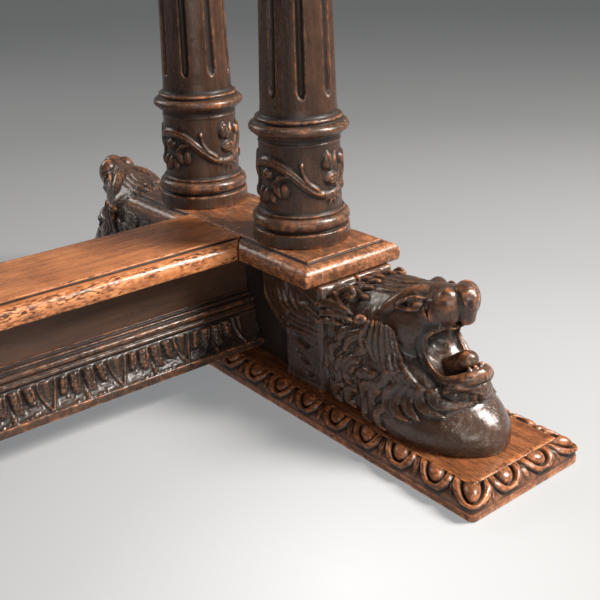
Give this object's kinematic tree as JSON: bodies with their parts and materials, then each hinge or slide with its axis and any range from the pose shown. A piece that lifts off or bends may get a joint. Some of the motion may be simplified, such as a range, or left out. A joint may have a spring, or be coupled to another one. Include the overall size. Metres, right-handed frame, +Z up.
{
  "type": "communion table",
  "caption": "Carved oak communion table: fluted column pairs on lion-ended sole boards, a moulded stretcher, and a planked top on a moulded frieze.",
  "frame": {"origin": "on the floor at the centre of the table", "axes": "+X along the table's length, +Y to its back, +Z up"},
  "size_m": [1.52, 0.79, 0.78],
  "materials": {
    "carved_oak": "waxed",
    "turned_oak": "waxed",
    "moulded_oak": "waxed",
    "frame_oak": "matt",
    "top_oak": "polished",
    "steel": "dull"
  },
  "bodies": {
    "root": {"apron_back": "frame_oak", "apron_bead_back": "moulded_oak", "apron_bead_front": "moulded_oak", "apron_bead_left": "moulded_oak", "apron_bead_right": "moulded_oak", "apron_front": "frame_oak", "apron_left": "frame_oak", "apron_right": "frame_oak", "bed_moulding_back": "moulded_oak", "bed_moulding_front": "moulded_oak", "bed_moulding_left": "moulded_oak", "bed_moulding_right": "moulded_oak", "button_back_1": "frame_oak", "button_back_2": "frame_oak", "button_front_1": "frame_oak", "button_front_2": "frame_oak", "button_left": "frame_oak", "button_right": "frame_oak", "cap_board_left": "moulded_oak", "cap_board_right": "moulded_oak", "column_back_left": "turned_oak", "column_back_right": "turned_oak", "column_front_left": "turned_oak", "column_front_right": "turned_oak", "core_block_left": "carved_oak", "core_block_right": "carved_oak", "corner_block_back_left": "frame_oak", "corner_block_back_right": "frame_oak", "corner_block_front_left": "frame_oak", "corner_block_front_right": "frame_oak", "cross_rail": "frame_oak", "end_bearer_left": "frame_oak", "end_bearer_right": "frame_oak", "head_board_left": "moulded_oak", "head_board_right": "moulded_oak", "lion_back_left": "carved_oak", "lion_back_right": "carved_oak", "lion_front_left": "carved_oak", "lion_front_right": "carved_oak", "sole_board_left": "moulded_oak", "sole_board_right": "moulded_oak", "sole_screw_left_1": "steel", "sole_screw_left_2": "steel", "sole_screw_left_3": "steel", "sole_screw_left_4": "steel", "sole_screw_right_1": "steel", "sole_screw_right_2": "steel", "sole_screw_right_3": "steel", "sole_screw_right_4": "steel", "stretcher_beam": "carved_oak", "stretcher_moulding_back": "carved_oak", "stretcher_moulding_front": "carved_oak", "stretcher_top": "moulded_oak", "top_clamp_left": "top_oak", "top_clamp_right": "top_oak", "top_plank_back": "top_oak", "top_plank_front": "top_oak", "top_plank_middle": "top_oak"}
  },
  "joints": []
}
